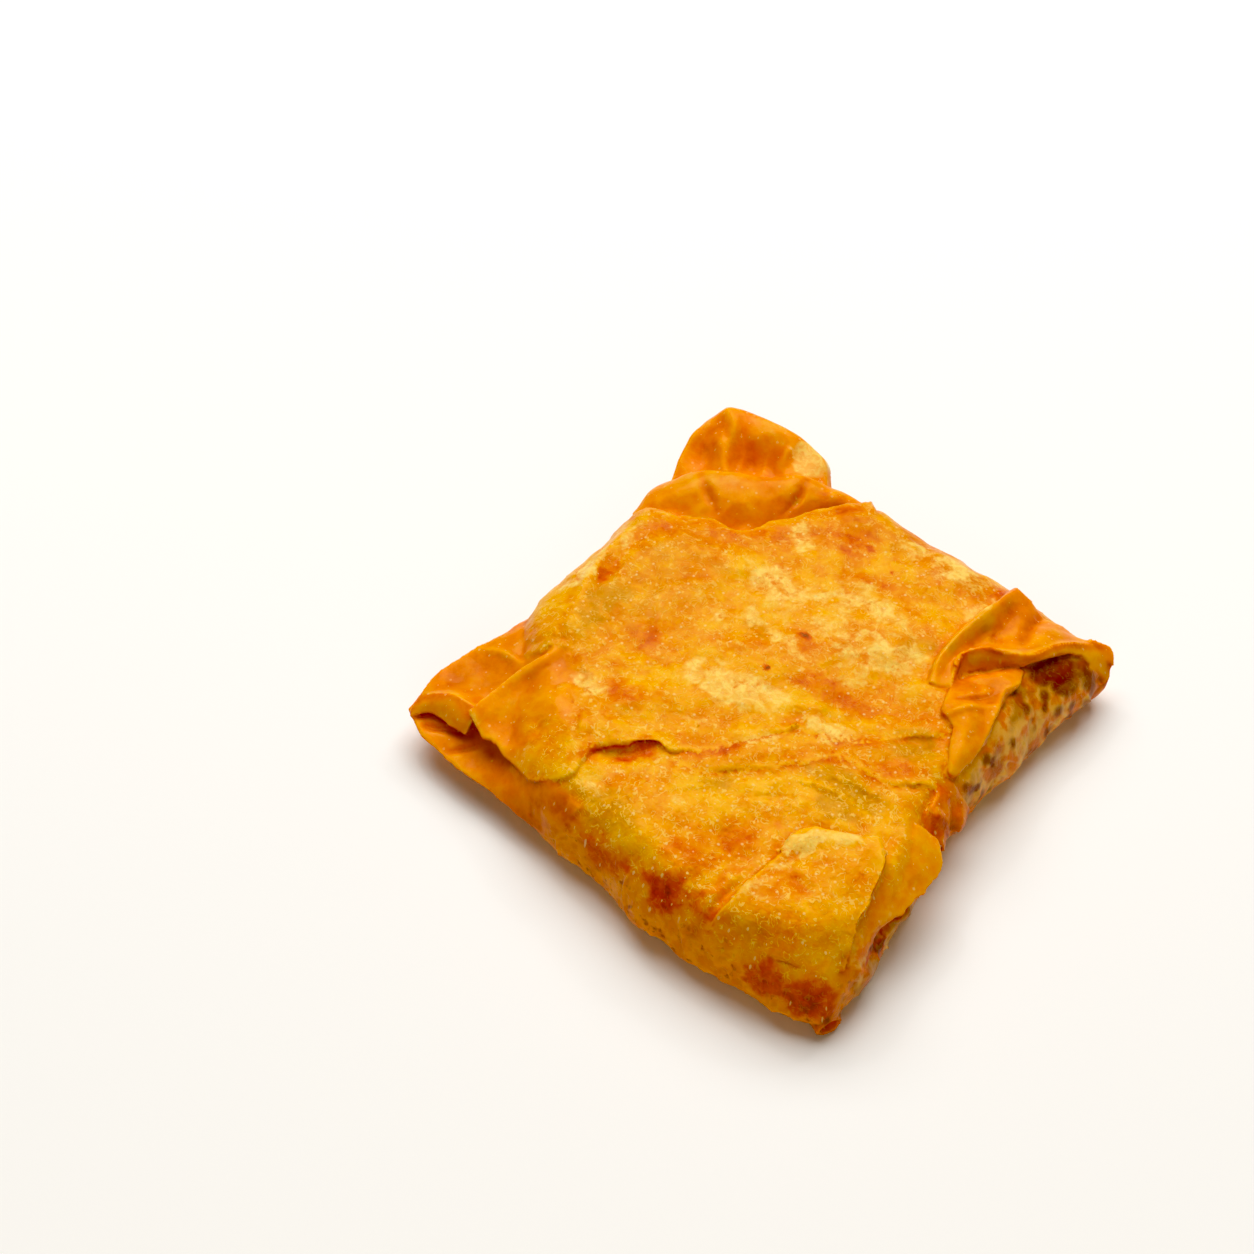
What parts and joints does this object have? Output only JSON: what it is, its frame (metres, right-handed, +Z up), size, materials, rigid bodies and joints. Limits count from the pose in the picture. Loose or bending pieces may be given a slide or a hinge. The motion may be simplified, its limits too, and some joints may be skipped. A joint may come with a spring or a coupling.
{
  "type": "fried filled pastry parcel",
  "caption": "Square fried martabak parcel: thin folded skin round a filled middle, with loose layered seams and crisp open ears at the corners.",
  "frame": {"origin": "middle of the flat underside of the parcel's bounding box", "axes": "+Z up from the plate, +X from the open left ear towards the front corner, +Y from the front corner towards the hooded right corner"},
  "size_m": [0.118, 0.1228, 0.024],
  "materials": {
    "fried_skin": "thin fried wheat skin, golden yellow with browned patches and orange edges, lightly oiled"
  },
  "bodies": {
    "root": {"martabak": "fried_skin"}
  },
  "joints": []
}
